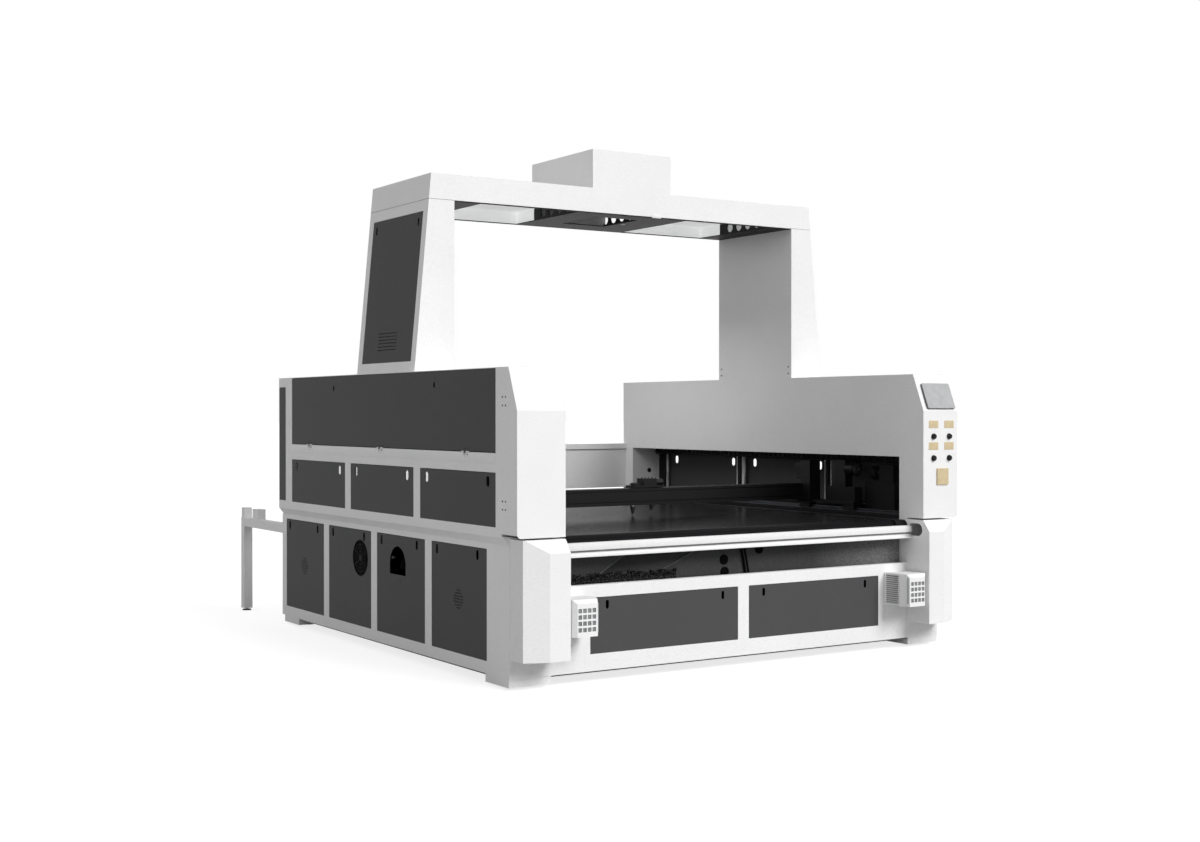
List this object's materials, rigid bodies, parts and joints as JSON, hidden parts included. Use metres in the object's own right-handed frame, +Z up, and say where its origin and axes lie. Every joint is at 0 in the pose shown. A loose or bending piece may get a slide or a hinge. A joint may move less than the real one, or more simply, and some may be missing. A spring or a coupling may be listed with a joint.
{
  "type": "fabric laser cutting machine",
  "caption": "Fabric laser cutter with a conveyor bed between two side housings, a travelling gantry with cutting heads, a camera arch and rear roll stands.",
  "frame": {"origin": "on the floor under the middle of the machine's bounding box", "axes": "+X to the right seen from the operator's side, +Y from the operator's side to the cloth roll at the back, +Z up"},
  "size_m": [2.519, 3.333, 2.457],
  "materials": {
    "white_coat": "fine textured white powder coat, satin",
    "charcoal_coat": "fine textured charcoal powder coat, satin",
    "black_coat": "matt black powder coat",
    "black_aluminium": "black anodised, satin",
    "rail_steel": "ground steel",
    "roller_steel": "turned steel",
    "head_metal": "turned and anodised",
    "foot_steel": "blackened steel",
    "mesh_belt": "woven steel mesh, dull",
    "galvanised": "galvanised sheet",
    "camera_body": "light grey coat",
    "diffuser": "opal lamp diffuser",
    "screen": "smooth light grey",
    "legend": "beige film",
    "bezel": "black, slightly glossy",
    "button_cap": "black, slightly glossy",
    "tube_glass": "clear glass",
    "fan_plastic": "black moulded plastic"
  },
  "bodies": {
    "frame": {"base_frame": "white_coat", "levelling_feet": "foot_steel", "left_lower_panel_1": "charcoal_coat", "left_lower_panel_2": "charcoal_coat", "left_lower_panel_3": "charcoal_coat", "left_lower_panel_4": "charcoal_coat", "right_lower_panel_1": "charcoal_coat", "right_lower_panel_2": "charcoal_coat", "right_lower_panel_3": "charcoal_coat", "right_lower_panel_4": "charcoal_coat", "front_panels": "charcoal_coat", "rear_panel": "charcoal_coat", "rear_cover": "white_coat", "left_housing": "white_coat", "right_housing": "white_coat", "left_mid_panels": "charcoal_coat", "right_mid_panels": "charcoal_coat", "flap_hinges": "white_coat", "corner_panels": "charcoal_coat", "left_tower_cover": "white_coat", "right_tower_cover": "white_coat", "left_lower_tower": "white_coat", "right_lower_tower": "white_coat", "vent_boxes": "white_coat", "front_rail": "white_coat", "conveyor_belt": "mesh_belt", "bed_frame": "black_coat", "exhaust_hopper": "galvanised", "exhaust_duct": "galvanised", "rail_plinths": "black_coat", "linear_rails": "rail_steel", "drive_motors": "black_coat", "arch_leg_left": "white_coat", "arch_leg_right": "white_coat", "arch_beam": "white_coat", "leg_panels": "charcoal_coat", "camera_box": "white_coat", "vision_camera": "camera_body", "underside_panel": "black_coat", "light_panels": "diffuser", "hmi_screen": "screen", "legend_plates": "legend", "button_bezels": "bezel", "rear_stands": "white_coat", "laser_tubes": "tube_glass", "fan_frame": "fan_plastic"},
    "gantry": {"gantry_beam": "black_aluminium", "gantry_ends": "black_aluminium"},
    "carriage": {"head_carriage": "black_aluminium"},
    "head_left": {"laser_head_left": "head_metal"},
    "head_right": {"laser_head_right": "head_metal"},
    "front_roller_body": {"front_roller": "roller_steel"},
    "rear_roller_body": {"rear_roller": "roller_steel"},
    "left_flap": {"left_top_flap": "charcoal_coat"},
    "right_flap": {"right_top_flap": "charcoal_coat"},
    "button_1_body": {"button_1": "button_cap"},
    "button_2_body": {"button_2": "button_cap"},
    "button_3_body": {"button_3": "button_cap"},
    "button_4_body": {"button_4": "button_cap"},
    "fan": {"fan_rotor": "fan_plastic"}
  },
  "joints": [
    {"name": "gantry_slide", "type": "slide", "parent": "frame", "child": "gantry", "axis": [0, 1, 0], "range_m": [-0.36, 1.2]},
    {"name": "carriage_slide", "type": "slide", "parent": "gantry", "child": "carriage", "axis": [1, 0, 0], "range_m": [-0.88, 0.75]},
    {"name": "left_head_lift", "type": "slide", "parent": "carriage", "child": "head_left", "axis": [0, 0, 1], "range_m": [-0.003, 0.03]},
    {"name": "right_head_lift", "type": "slide", "parent": "carriage", "child": "head_right", "axis": [0, 0, 1], "range_m": [-0.017, 0.016]},
    {"name": "front_roller_turn", "type": "hinge", "parent": "frame", "child": "front_roller_body", "pos_m": [0, -1.4635, 0.5826], "axis": [1, 0, 0], "continuous": true},
    {"name": "rear_roller_turn", "type": "hinge", "parent": "frame", "child": "rear_roller_body", "pos_m": [0, 0.9635, 0.5826], "axis": [1, 0, 0], "continuous": true},
    {"name": "left_flap_hinge", "type": "hinge", "parent": "frame", "child": "left_flap", "pos_m": [-1.255, -0.3175, 0.984], "axis": [0, -1, 0], "range_deg": [0, 110]},
    {"name": "right_flap_hinge", "type": "hinge", "parent": "frame", "child": "right_flap", "pos_m": [1.255, -0.3175, 0.984], "axis": [0, 1, 0], "range_deg": [0, 110]},
    {"name": "button_1_press", "type": "slide", "parent": "frame", "child": "button_1_body", "axis": [0, 1, 0], "range_m": [0, 0.004], "stiffness_N_per_m": 500, "springref_m": -0.002},
    {"name": "button_2_press", "type": "slide", "parent": "frame", "child": "button_2_body", "axis": [0, 1, 0], "range_m": [0, 0.004], "stiffness_N_per_m": 500, "springref_m": -0.002},
    {"name": "button_3_press", "type": "slide", "parent": "frame", "child": "button_3_body", "axis": [0, 1, 0], "range_m": [0, 0.004], "stiffness_N_per_m": 500, "springref_m": -0.002},
    {"name": "button_4_press", "type": "slide", "parent": "frame", "child": "button_4_body", "axis": [0, 1, 0], "range_m": [0, 0.004], "stiffness_N_per_m": 500, "springref_m": -0.002},
    {"name": "fan_turn", "type": "hinge", "parent": "frame", "child": "fan", "pos_m": [-1.204, -0.022, 0.436], "axis": [1, 0, 0], "continuous": true}
  ],
  "couplings": [
    {"joint": "rear_roller_turn", "follows": "front_roller_turn", "ratio": 1}
  ]
}
